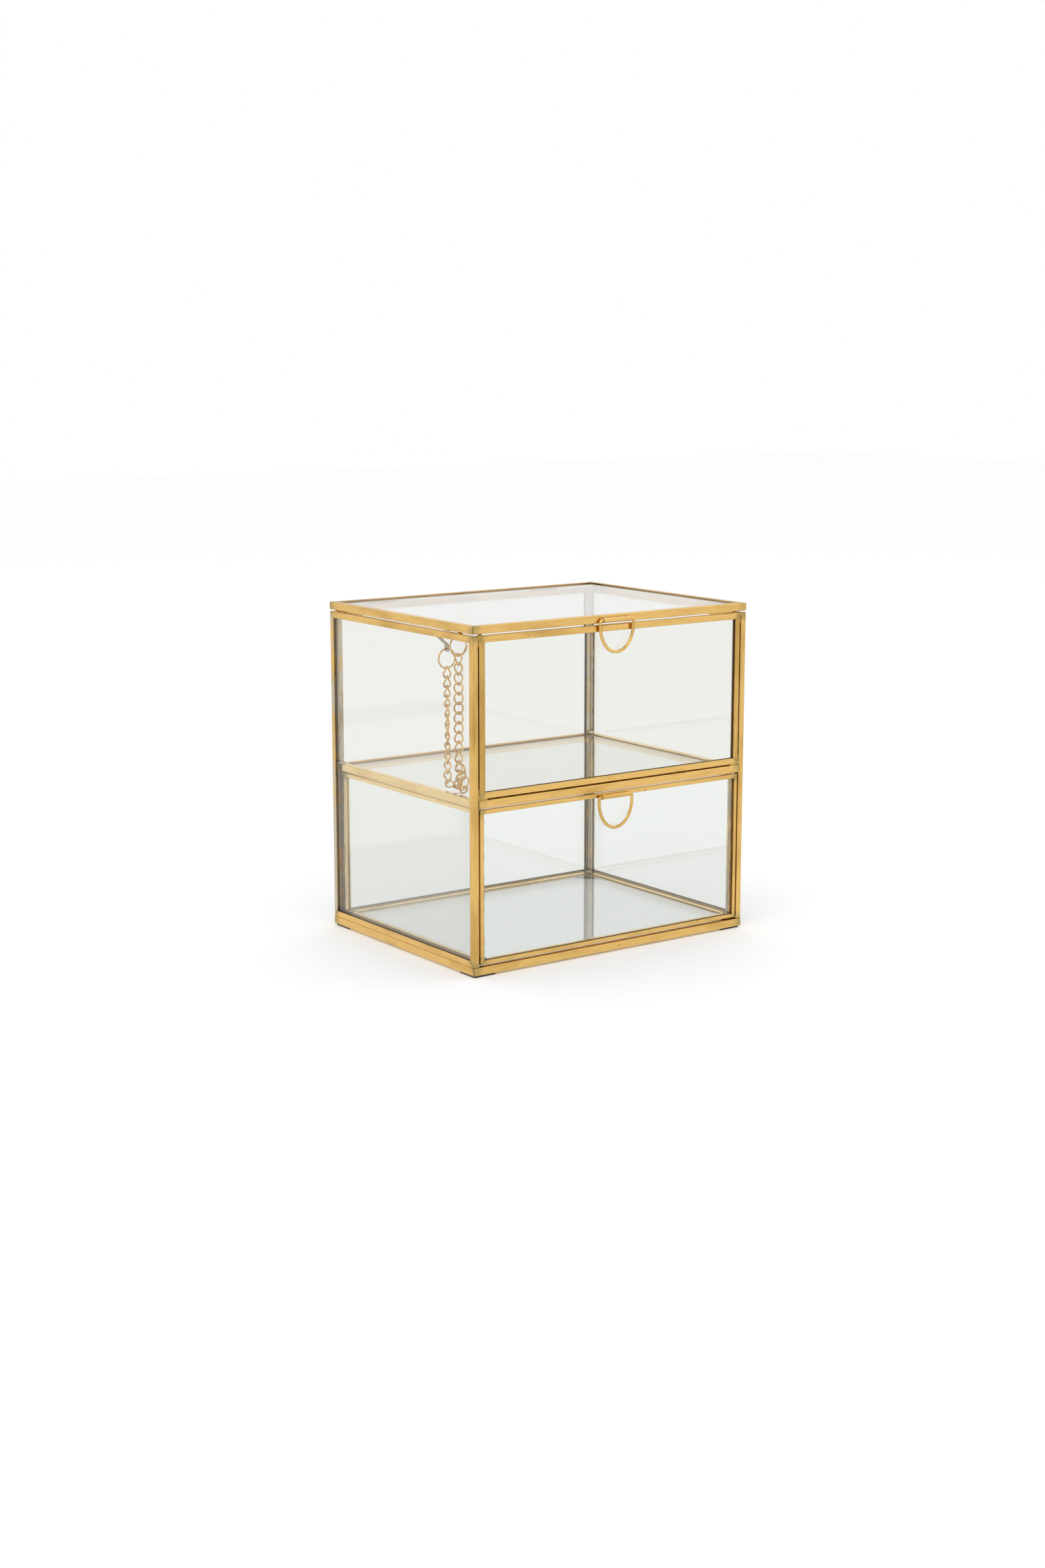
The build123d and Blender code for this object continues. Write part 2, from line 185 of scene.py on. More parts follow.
class Shader:
    """A new material with its Principled shader and short ways to add nodes."""

    def __init__(self, name):
        self.material = bpy.data.materials.new(name)
        self.material.use_nodes = True
        self.tree = self.material.node_tree
        self.surface = self.tree.nodes["Principled BSDF"]
        self.output = self.tree.nodes["Material Output"]
        self.place = self.add("TexCoord").outputs["Object"]

    def add(self, kind, **values):
        """A new node with some of its values set."""
        node = self.tree.nodes.new("ShaderNode" + kind)
        for key, value in values.items():
            setattr(node, key, value)
        return node

    def link(self, source, target):
        self.tree.links.new(source, target)

    def noise(self, scale, detail=3.0, roughness=0.55, stretch=(1, 1, 1)):
        """Cloudy pattern between 0 and 1."""
        mapping = self.add("Mapping")
        mapping.inputs["Scale"].default_value = stretch
        self.link(self.place, mapping.inputs["Vector"])
        node = self.add("TexNoise")
        node.inputs["Scale"].default_value = scale
        node.inputs["Detail"].default_value = detail
        node.inputs["Roughness"].default_value = roughness
        self.link(mapping.outputs["Vector"], node.inputs["Vector"])
        return node.outputs["Fac"]

    def span(self, source, low, high, to_low=0.0, to_high=1.0):
        """Stretches low to high over to_low to to_high and stops at both."""
        node = self.add("MapRange")
        ends = {"From Min": low, "From Max": high, "To Min": to_low, "To Max": to_high}
        for key, value in ends.items():
            node.inputs[key].default_value = value
        self.link(source, node.inputs["Value"])
        return node.outputs["Result"]

    def mix(self, factor, first, second):
        """First colour where factor is 0, second where it is 1."""
        node = self.add("Mix", data_type="RGBA")
        self.link(factor, node.inputs["Factor"])
        for socket, value in ((node.inputs["A"], first), (node.inputs["B"], second)):
            if isinstance(value, bpy.types.NodeSocket):
                self.link(value, socket)
            else:
                socket.default_value = (*value, 1)
        return node.outputs["Result"]

    def both(self, first, second, operation="MULTIPLY"):
        """Two values taken together."""
        node = self.add("Math", operation=operation)
        self.link(first, node.inputs[0])
        self.link(second, node.inputs[1])
        return node.outputs["Value"]

    def along(self, axis):
        """Distance along an axis."""
        node = self.add("SeparateXYZ")
        self.link(self.place, node.inputs["Vector"])
        return node.outputs[axis]

    def crevice(self, reach):
        """1 in the open and 0 deep in a crevice narrower than reach."""
        node = self.add("AmbientOcclusion", samples=8, only_local=True)
        node.inputs["Distance"].default_value = reach
        return node.outputs["AO"]

    def edges(self, reach):
        """0 on a flat and up to 1 within reach of an edge."""
        rounded = self.add("Bevel", samples=4)
        rounded.inputs["Radius"].default_value = reach
        flat = self.add("NewGeometry")
        likeness = self.add("VectorMath", operation="DOT_PRODUCT")
        self.link(rounded.outputs["Normal"], likeness.inputs[0])
        self.link(flat.outputs["Normal"], likeness.inputs[1])
        return self.span(likeness.outputs["Value"], 1.0, 0.0)

    def brush(self, run, strength):
        """Draws reflections out across the run, as a grain along it does."""
        way = self.add("CombineXYZ")
        way.inputs[run].default_value = 1.0
        turned = self.add(
            "VectorTransform", vector_type="VECTOR", convert_from="OBJECT", convert_to="WORLD")
        self.link(way.outputs["Vector"], turned.inputs["Vector"])
        self.link(turned.outputs["Vector"], self.surface.inputs["Tangent"])
        self.surface.inputs["Anisotropic"].default_value = strength
        self.surface.inputs["Anisotropic Rotation"].default_value = QUARTER_TURN

    def blend(self, factor, first, second):
        """Shows first where factor is 0 and second where it is 1."""
        node = self.add("MixShader")
        self.link(factor, node.inputs["Fac"])
        self.link(first, node.inputs[1])
        self.link(second, node.inputs[2])
        self.link(node.outputs["Shader"], self.output.inputs["Surface"])

    def bump(self, height, strength, distance, below=None):
        """Raises the surface where height is large, over what lies below."""
        node = self.add("Bump")
        node.inputs["Strength"].default_value = strength
        node.inputs["Distance"].default_value = distance
        self.link(height, node.inputs["Height"])
        if below is not None:
            self.link(below, node.inputs["Normal"])
        return node.outputs["Normal"]


# Brass: patterns in waves per metre, and the spans of a pattern over which a colour comes in
PATCHES = 90
PATCH_SPAN = (0.48, 0.75)
GRAIN = 1500
GRAIN_STRETCH = 0.03
GRAIN_SPAN = (0.52, 0.75, 0.0, 0.5)
STREAK_STRETCH = 0.3
SPOTS = 520
SPOT_SPAN = (0.70, 0.78, 0.0, 0.6)
SMEARS = 260
SMEAR_SPAN = (0.62, 0.72)
SMEAR_GROWTH = 0.25
STAINS = 210
STAIN_SPAN = (0.22, 0.46, 0.0, 0.75)
STAIN_REACH = 9 * MM
# Painted shade along edges and folds: reach, span and strength, less on strips seen through the glass
EDGE_REACH = 0.45 * MM
EDGE_SPAN = (0.02, 0.25)
EDGE_SHADE = 0.8
INNER_EDGE_SHADE = 0.2
# Painted shade in seams and crevices: reach and span
SEAM_REACH = 0.5 * MM
SEAM_SPAN = (0.15, 0.7, 1.0, 0.0)
GLOSS_SPAN = (0.3, 0.7)
GLOSS_LOSS = 0.10
GLOSS_GAIN = 0.05
DENTS = 60
DENT_STRENGTH = 0.20
DENT_DEPTH = 0.35 * MM
SCRATCH_STRENGTH = 0.06
SCRATCH_DEPTH = 0.03 * MM
BRUSHED = 0.75


def brass_material(
        name, run="", dull=0.0, tinned=0.0, gloss_change=0.0, ends=None, rear_only=False, inner=False):
    """Folded brass with a grain along its run: clean on the flats, with painted shade at edges and seams."""
    values = settings().brass
    shader = Shader(name)
    along = tuple(GRAIN_STRETCH if axis == run else 1.0 for axis in "XYZ")
    streaks = tuple(max(STREAK_STRETCH, part) for part in along)
    grain = shader.noise(GRAIN, stretch=along)
    bright, aged, edge_shade = values.bright, values.aged, EDGE_SHADE
    # Strips seen through the glass: a paler copy of the brass, painted light, with less painted shade at
    # their edges
    if inner:
        bright, aged, edge_shade = values.inner, values.bright, INNER_EDGE_SHADE
    patches = shader.noise(PATCHES, detail=4, stretch=streaks)
    colour = shader.mix(shader.span(patches, *(part - dull for part in PATCH_SPAN)), bright, aged)
    colour = shader.mix(shader.span(grain, *GRAIN_SPAN), colour, aged)
    colour = shader.mix(shader.span(shader.noise(SPOTS, detail=2), *SPOT_SPAN), colour, values.grime_and_shade)
    if tinned:
        colour = smeared(shader, colour, streaks, tinned, rear_only)
    if ends:
        colour = stained(shader, colour, run, ends)
    # Painted shade along the edges and folds, standing in for the darker things that the real brass mirrors
    # there
    edge = shader.span(shader.edges(EDGE_REACH), *EDGE_SPAN, 0.0, edge_shade)
    colour = shader.mix(edge, colour, values.grime_and_shade)
    # Painted shade in seams and crevices, where the surroundings close in
    seam = shader.span(shader.crevice(SEAM_REACH), *SEAM_SPAN)
    colour = shader.mix(seam, colour, values.grime_and_shade)
    shader.link(colour, shader.surface.inputs["Base Color"])
    gloss = values.gloss + gloss_change
    roughness = shader.span(grain, *GLOSS_SPAN, gloss - GLOSS_GAIN, gloss + GLOSS_LOSS)
    shader.link(roughness, shader.surface.inputs["Roughness"])
    dents = shader.bump(shader.noise(DENTS, detail=2), DENT_STRENGTH, DENT_DEPTH)
    scratches = shader.bump(grain, SCRATCH_STRENGTH, SCRATCH_DEPTH, dents)
    shader.link(scratches, shader.surface.inputs["Normal"])
    shader.surface.inputs["Metallic"].default_value = 1.0
    if run:
        shader.brush(run, BRUSHED)
    return shader.material


def smeared(shader, colour, streaks, tinned, rear_only):
    """Adds smears of tin solder, at the rear half only where asked."""
    smears = shader.noise(SMEARS, detail=5, stretch=streaks)
    smear = shader.span(smears, *(part - SMEAR_GROWTH * tinned for part in SMEAR_SPAN))
    if rear_only:
        smear = shader.both(smear, shader.span(shader.along("Y"), 0.0, MM))
    return shader.mix(smear, colour, settings().solder.colour)


def stained(shader, colour, run, ends):
    """Adds the stain of flux near both ends of a strip."""
    reach = shader.noise(STAINS)
    for end, far in (ends, reversed(ends)):
        inset = end + math.copysign(STAIN_REACH, far - end)
        near = shader.span(shader.along(run), end, inset, 1.0, 0.0)
        stain = shader.span(shader.both(near, reach), *STAIN_SPAN)
        colour = shader.mix(stain, colour, settings().solder.stain)
    return colour


# Solder
FLUX = 300
FLUX_SPAN = (0.45, 0.75)
FLUX_TINGE = 0.9
SLOT_SHADE_TINGE = 0.3
# Painted shade in the solder's crevices: reach and span
SOLDER_SEAM_REACH = 0.6 * MM
SOLDER_SEAM_SPAN = (0.2, 0.7, 0.8, 0.0)
SOLDER_SHEEN = 500
SOLDER_SHEEN_SPAN = (0.3, 0.7, 0.34, 0.55)
LUMPS = 900
LUMP_STRENGTH = 0.35
LUMP_HEIGHT = 0.08 * MM


def solder(kind="Tin solder"):
    """Solder tinged by the brass beneath and pitted by flux, and the dark slot fill of painted shade; pieces
    of one kind share it.
    """
    if kind in bpy.data.materials:
        return bpy.data.materials[kind]
    brass = settings().brass
    # The dark fill in the slots round the upper front wall takes the dark brass colour as painted shade
    colours = {
        "Tin solder": settings().solder.colour,
        "Brass solder": settings().solder.golden,
        "Slot shade": brass.grime_and_shade,
    }
    tinge = SLOT_SHADE_TINGE if kind == "Slot shade" else FLUX_TINGE
    shader = Shader(kind)
    flux = shader.span(shader.noise(FLUX, detail=4), *FLUX_SPAN, 0.0, tinge)
    colour = shader.mix(flux, colours[kind], brass.aged)
    # Painted shade in the crevices of the solder
    seam = shader.span(shader.crevice(SOLDER_SEAM_REACH), *SOLDER_SEAM_SPAN)
    colour = shader.mix(seam, colour, brass.grime_and_shade)
    shader.link(colour, shader.surface.inputs["Base Color"])
    roughness = shader.span(shader.noise(SOLDER_SHEEN), *SOLDER_SHEEN_SPAN)
    shader.link(roughness, shader.surface.inputs["Roughness"])
    lumps = shader.bump(shader.noise(LUMPS, detail=4), LUMP_STRENGTH, LUMP_HEIGHT)
    shader.link(lumps, shader.surface.inputs["Normal"])
    shader.surface.inputs["Metallic"].default_value = 1.0
    return shader.material


# Glass
FINGER_MARKS = 55
FINGER_MARK_SPAN = (0.55, 0.8, 0.0, 0.035)
SHADOW_TINT = 0.25  # power of the tint that a pane's shadow has


def glass_material(name, tint):
    """Clear pane with a faint cast and finger marks; lamps shine through it."""
    shader = Shader(name)
    marks = shader.span(shader.noise(FINGER_MARKS, detail=6, roughness=0.65), *FINGER_MARK_SPAN)
    shader.link(marks, shader.surface.inputs["Roughness"])
    shader.surface.inputs["Base Color"].default_value = (*tint, 1)
    shader.surface.inputs["Transmission Weight"].default_value = 1.0
    shader.surface.inputs["IOR"].default_value = settings().glass.bend
    clear = shader.add("BsdfTransparent")
    clear.inputs["Color"].default_value = (*(part ** SHADOW_TINT for part in tint), 1)
    shadow = shader.add("LightPath").outputs["Is Shadow Ray"]
    shader.blend(shadow, shader.surface.outputs["BSDF"], clear.outputs["BSDF"])
    return shader.material


# Rubber
RUBBER = (0.012, 0.012, 0.013)
RUBBER_DUST = (0.06, 0.057, 0.052)
DUST = 420
DUST_SPAN = (0.45, 0.8)
RUBBER_SHEEN = 700
RUBBER_SHEEN_SPAN = (0.3, 0.7, 0.62, 0.88)
PITS = 2200
PIT_STRENGTH = 0.3
PIT_DEPTH = 0.05 * MM


def rubber_material():
    """Black rubber, dusty and finely pitted."""
    shader = Shader("Black rubber")
    dust = shader.span(shader.noise(DUST, detail=5), *DUST_SPAN)
    shader.link(shader.mix(dust, RUBBER, RUBBER_DUST), shader.surface.inputs["Base Color"])
    roughness = shader.span(shader.noise(RUBBER_SHEEN), *RUBBER_SHEEN_SPAN)
    shader.link(roughness, shader.surface.inputs["Roughness"])
    pits = shader.bump(shader.noise(PITS), PIT_STRENGTH, PIT_DEPTH)
    shader.link(pits, shader.surface.inputs["Normal"])
    return shader.material


def strip_run(pane, kind):
    """The axis that a pane's rails or stiles run along."""
    if kind == "rails":
        return "Y" if pane.endswith(("left", "right", "left_wall", "right_wall")) else "X"
    return "Y" if pane in LEVEL_PANES else "Z"


def wear(nodes, material):
    """Puts a material on CAD nodes."""
    for name in nodes:
        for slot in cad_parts[name].material_slots:
            slot.material = material


# Modelling helpers

def start_piece():
    """Leaves nothing selected before a new piece is made."""
    if bpy.context.object and bpy.context.object.mode != "OBJECT":
        bpy.ops.object.mode_set(mode="OBJECT")
    bpy.ops.object.select_all(action="DESELECT")


def settle(piece, matrix):
    """Moves a finished mesh to its place and leaves its object at the origin."""
    piece.data.transform(matrix)
    piece.data.update()


AXES = {
    "X": Vector((1, 0, 0)),
    "Y": Vector((0, 1, 0)),
    "Z": Vector((0, 0, 1)),
    "-X": Vector((-1, 0, 0)),
    "-Y": Vector((0, -1, 0)),
}


def seat(spot, along, up):
    """Turns X to along and Z to up, at a spot."""
    along = AXES[along] if isinstance(along, str) else along
    up = AXES[up] if isinstance(up, str) else up
    turn = Matrix((along, up.cross(along), up)).transposed().to_4x4()
    return Matrix.Translation(spot) @ turn


# Dab of solder, as shares of a ball one metre wide
DAB_SEGMENTS = 14
DAB_RINGS = 12
DAB_UNEVEN = 0.07
DAB_EVENED = 0.4
DAB_CUT = -0.1

chance = random.Random(RANDOM_SEED)


def dab(length, width, height, place):
    """A dab of solder on a face: a ball roughened, drawn out along X, squashed and cut flat beneath."""
    start_piece()
    bpy.ops.mesh.primitive_uv_sphere_add(
        segments=DAB_SEGMENTS, ring_count=DAB_RINGS, radius=0.5, rotation=(0, math.pi / 2, 0))
    piece = bpy.context.object
    bpy.ops.object.transform_apply(location=False, rotation=True, scale=False)
    bpy.ops.object.mode_set(mode="EDIT")
    bpy.ops.mesh.select_all(action="SELECT")
    bpy.ops.transform.vertex_random(offset=DAB_UNEVEN, normal=0.6, seed=chance.randrange(10000))
    bpy.ops.mesh.vertices_smooth(factor=DAB_EVENED)
    bpy.ops.mesh.bisect(
        plane_co=(0, 0, DAB_CUT), plane_no=(0, 0, 1), clear_inner=True, use_fill=True)
    bpy.ops.mesh.select_all(action="SELECT")
    bpy.ops.mesh.normals_make_consistent(inside=False)
    bpy.ops.transform.resize(value=(length, width, 2 * height), center_override=(0, 0, 0))
    bpy.ops.object.mode_set(mode="OBJECT")
    bpy.ops.object.shade_smooth()
    settle(piece, place)
    return piece


def join(pieces, name):
    """Joins pieces that ride together into one."""
    start_piece()
    for piece in pieces:
        piece.select_set(True)
    bpy.context.view_layer.objects.active = pieces[0]
    if len(pieces) > 1:
        bpy.ops.object.join()
    pieces[0].name = name
    return pieces[0]


def between(low, high, count):
    """The middles of as many even steps from low to high."""
    return [low + (high - low) * (0.5 + step) / count for step in range(count)]


def finish_piece(piece, material, body):
    """Gives a piece its finish and sets it on its body."""
    piece.data.materials.clear()
    piece.data.materials.append(material)
    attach(piece, body)


class JEWELBOX_OT_glass(bpy.types.Operator):
    """Finish every pane as clear glass"""
    bl_idname = "jewel_box.glass"
    bl_label = "Glass panes"

    def execute(self, context):
        values = settings().glass
        wear([f"{pane}_glass" for pane in CASE_PANES], glass_material("Wall glass", values.case_tint))
        wear(["lid_glass"], glass_material("Lid glass", values.lid_tint))
        wear([f"{pane}_glass" for pane in DRAWER_PANES], glass_material("Drawer glass", values.drawer_tint))
        return {"FINISHED"}


class JEWELBOX_OT_channels(bpy.types.Operator):
    """Finish the folded channel round every pane as brass"""
    bl_idname = "jewel_box.channels"
    bl_label = "Brass channels"

    def execute(self, context):
        finishes = {}
        for pane in ALL_PANES:
            for kind in ("rails", "stiles"):
                strips = f"{pane}_{kind}"
                run = strip_run(pane, kind)
                ends = tuple(getattr(corner, run.lower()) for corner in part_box(strips))
                # Strips seen through the glass take the paler brass of painted light
                inner = pane in INNER_PANES or strips in INNER_STRIPS
                dull = DULL.get(strips, 0.0)
                tinned = TINNED.get(strips, 0.0)
                look = (run, dull, tinned, 0.0, ends, strips in REAR_TINNED, inner)
                finishes.setdefault(look, []).append(strips)
        for number, (look, strips) in enumerate(finishes.items(), 1):
            wear(strips, brass_material(f"Channel brass {number}", *look))
        return {"FINISHED"}


class JEWELBOX_OT_pads(bpy.types.Operator):
    """Finish the pads under the base as black rubber"""
    bl_idname = "jewel_box.pads"
    bl_label = "Base pads"

    def execute(self, context):
        wear(["base_pads"], rubber_material())
        return {"FINISHED"}


# Solder of the hinges: length, width and height of a dab, and rows of them off each hinge's axis
HINGE_DAB = (4.2 * MM, 1.5 * MM, 0.45 * MM)
HINGE_DABS = 4
HINGE_ROW = 9 * MM
HINGE_SHIFTS = {"wall": -1.6 * MM, "lid": 1.9 * MM}
HINGE_BODIES = {"wall": "case", "lid": "lid"}


class JEWELBOX_OT_hinges(bpy.types.Operator):
    """Finish the hinges and solder them to the wall and the lid"""
    bl_idname = "jewel_box.hinges"
    bl_label = "Hinges"

    def execute(self, context):
        wear(["hinge_wall_knuckles", "hinge_lid_knuckles", "hinge_pins"], brass_material("Hinge brass"))
        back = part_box("back_wall_rails")[1].y
        for leaf, shift in HINGE_SHIFTS.items():
            low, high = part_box(f"hinge_{leaf}_knuckles")
            height = (low.z + high.z) / 2 + shift
            dabs = []
            for side in (low.x, high.x):
                inner = side - math.copysign(HINGE_ROW, side)
                for across in between(inner, side, HINGE_DABS):
                    spot = Vector((across, back, height))
                    dabs.append(dab(*HINGE_DAB, seat(spot, "X", "Y")))
            row = join(dabs, f"hinge_{leaf}_solder")
            finish_piece(row, solder("Brass solder"), HINGE_BODIES[leaf])
        return {"FINISHED"}


# Pulls: their gloss, and the solder behind their tubes
PULL_GLOSS = -0.05
PULL_DAB = (4.4 * MM, 2.9 * MM, 0.55 * MM)
PULL_DABS = 6
PULL_SWAY = 0.15 * MM


class JEWELBOX_OT_pulls(bpy.types.Operator):
    """Finish the two wire pulls and solder their tubes to the rails"""
    bl_idname = "jewel_box.pulls"
    bl_label = "Pulls"

    def execute(self, context):
        wire = brass_material("Pull brass", "X", gloss_change=PULL_GLOSS)
        for body, rail in (("lid", "lid_rails"), ("drawer", "drawer_front_rails")):
            wear([f"{body}_pull_tube", f"{body}_pull_ring"], wire)
            low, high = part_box(f"{body}_pull_tube")
            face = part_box(rail)[0].y
            middle = (low.z + high.z) / 2
            dabs = []
            for step, across in enumerate(between(low.x, high.x, PULL_DABS)):
                spot = Vector((across, face, middle + PULL_SWAY * (-1) ** step))
                dabs.append(dab(*PULL_DAB, seat(spot, "X", "-Y")))
            finish_piece(join(dabs, f"{body}_pull_solder"), solder("Brass solder"), body)
        return {"FINISHED"}


# Chain: its gloss, and the turns, gap and rise of its two jump rings
CHAIN_GLOSS = -0.06
RING_TURNS = {"wall": 1.0, "lid": 1.33}
RING_GAP = math.radians(2)  # between the ends of a ring of one turn
RING_RISE = 0.12  # from end to end of a ring of one turn, in wires
RING_LAP_RISE = 0.95  # the same where the ends pass each other
RING_SIDES = 14
RING_STEPS = 64
RING_CREASE = math.radians(40)


class JEWELBOX_OT_chain(bpy.types.Operator):
    """Finish the chain and coil its two jump rings"""
    bl_idname = "jewel_box.chain"
    bl_label = "Chain"

    def execute(self, context):
        gold = brass_material("Chain brass", gloss_change=CHAIN_GLOSS)
        wear([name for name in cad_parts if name.startswith("chain_")], gold)
        wear(["chain_wall_tab"], solder())
        for end, turns in RING_TURNS.items():
            ring = self.ring(f"chain_{end}_ring", turns)
            finish_piece(ring, gold, f"chain_{end}_strand")
            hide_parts(f"chain_{end}_ring")
        return {"FINISHED"}

    def ring(self, node, turns):
        """A ring of round wire whose ends meet or lie side by side."""
        low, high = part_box(node)
        laps = turns > 1
        wire = high.y - low.y
        radius = (high.x - low.x - wire) / 2
        start_piece()
        bpy.ops.mesh.primitive_circle_add(
            vertices=RING_SIDES, radius=wire / 2, location=(-radius, 0, 0), rotation=(math.pi / 2, 0, 0))
        ring = bpy.context.object
        bpy.ops.object.transform_apply()
        bpy.ops.object.mode_set(mode="EDIT")
        bpy.ops.mesh.select_all(action="SELECT")
        bpy.ops.transform.rotate(
            value=-math.pi * (turns - 1), orient_axis="Z", center_override=(0, 0, 0))
        bpy.ops.object.mode_set(mode="OBJECT")
        coil = ring.modifiers.new("Coil", "SCREW")
        coil.axis = "Z"
        coil.angle = math.tau * turns - (0 if laps else RING_GAP)
        coil.screw_offset = wire * (RING_LAP_RISE if laps else RING_RISE)
        coil.steps = RING_STEPS
        coil.render_steps = RING_STEPS
        coil.use_merge_vertices = False
        bpy.ops.object.modifier_apply(modifier="Coil")
        bpy.ops.object.mode_set(mode="EDIT")
        bpy.ops.mesh.select_mode(type="EDGE")
        bpy.ops.mesh.select_all(action="DESELECT")
        bpy.ops.mesh.select_non_manifold()
        bpy.ops.mesh.fill_holes(sides=0)
        bpy.ops.mesh.select_all(action="SELECT")
        bpy.ops.mesh.normals_make_consistent(inside=False)
        bpy.ops.object.mode_set(mode="OBJECT")
        bpy.ops.object.shade_smooth_by_angle(angle=RING_CREASE)
        heights = [corner.co.z for corner in ring.data.vertices]
        level = Matrix.Translation((0, 0, -(max(heights) + min(heights)) / 2))
        upright = Matrix.Rotation(math.pi / 2, 4, "X")
        settle(ring, Matrix.Translation((low + high) / 2) @ upright @ level)
        ring.name = f"{node}_coiled"
        return ring


# Solder along the mitres
RIDGE_LENGTH = 1.36  # of the channel's lip, as a mitre runs aslant
MITRED_PANES = {"case": ("front_wall", "back_wall"), "drawer": ("drawer_front", "drawer_back")}


class JEWELBOX_OT_mitre_solder(bpy.types.Operator):
    """Run solder along the mitres that face front and back"""
    bl_idname = "jewel_box.mitre_solder"
    bl_label = "Mitre solder"

    def execute(self, context):
        values = settings().solder
        lips = {"case": values.lip, "drawer": values.drawer_lip}
        for body, panes in MITRED_PANES.items():
            ridges = []
            for pane in panes:
                ridges += self.ridges(pane, lips[body], values.ridge_width, values.ridge_height)
            finish_piece(join(ridges, f"{body}_mitre_solder"), solder("Brass solder"), body)
        return {"FINISHED"}

    def ridges(self, pane, lip, width, height):
        """A ridge along each of a pane's four mitres, on its outer face."""
        low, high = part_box(f"{pane}_rails")
        front = pane.endswith(("front", "front_wall"))
        face = low.y if front else high.y
        ridges = []
        for across in (-1, 1):
            for upward in (-1, 1):
                side = (high.x if across > 0 else low.x) - across * lip / 2
                level = (high.z if upward > 0 else low.z) - upward * lip / 2
                run = Vector((across, 0, upward)).normalized()
                place = seat(Vector((side, face, level)), run, "-Y" if front else "Y")
                ridges.append(dab(lip * RIDGE_LENGTH, width, height, place))
        return ridges


# Solder in the corners: runs up them, drops at their feet and spots beside the upper front wall
CASE_RUN_WIDTH = 1.5 * MM
CASE_DROP = (4.5 * MM, 4.5 * MM, 1.3 * MM)
CASE_DROP_INSET = 1.0 * MM
DRAWER_RUN_WIDTH = 1.1 * MM
DRAWER_RUN_TOP = 1.5 * MM
DRAWER_DROP = (4 * MM, 4 * MM, 1.0 * MM)
DRAWER_DROP_INSET = 0.8 * MM
FRONT_SPOT = (2.4 * MM, 1.5 * MM, 0.4 * MM)
FRONT_SPOT_INSET = 0.8 * MM
# Dark fill of painted shade in the slots round the upper front wall: length and width of a dab, step and
# insets
SEAM_LENGTH = 9 * MM
SEAM_WIDTH = 1.6 * MM
SEAM_STEP = 4 * MM
SEAM_INSET = 3 * MM
POST_SEAM_INSET = 2 * MM
RUN_LENGTHS = (6, 12)  # in millimetres
RUN_OVERLAP = 0.6
RUN_INSETS = (0.10, 0.22)
RUN_SPREADS = (1.1, 1.6)
RUN_HEIGHT = 0.5
RUN_REST = 5 * MM


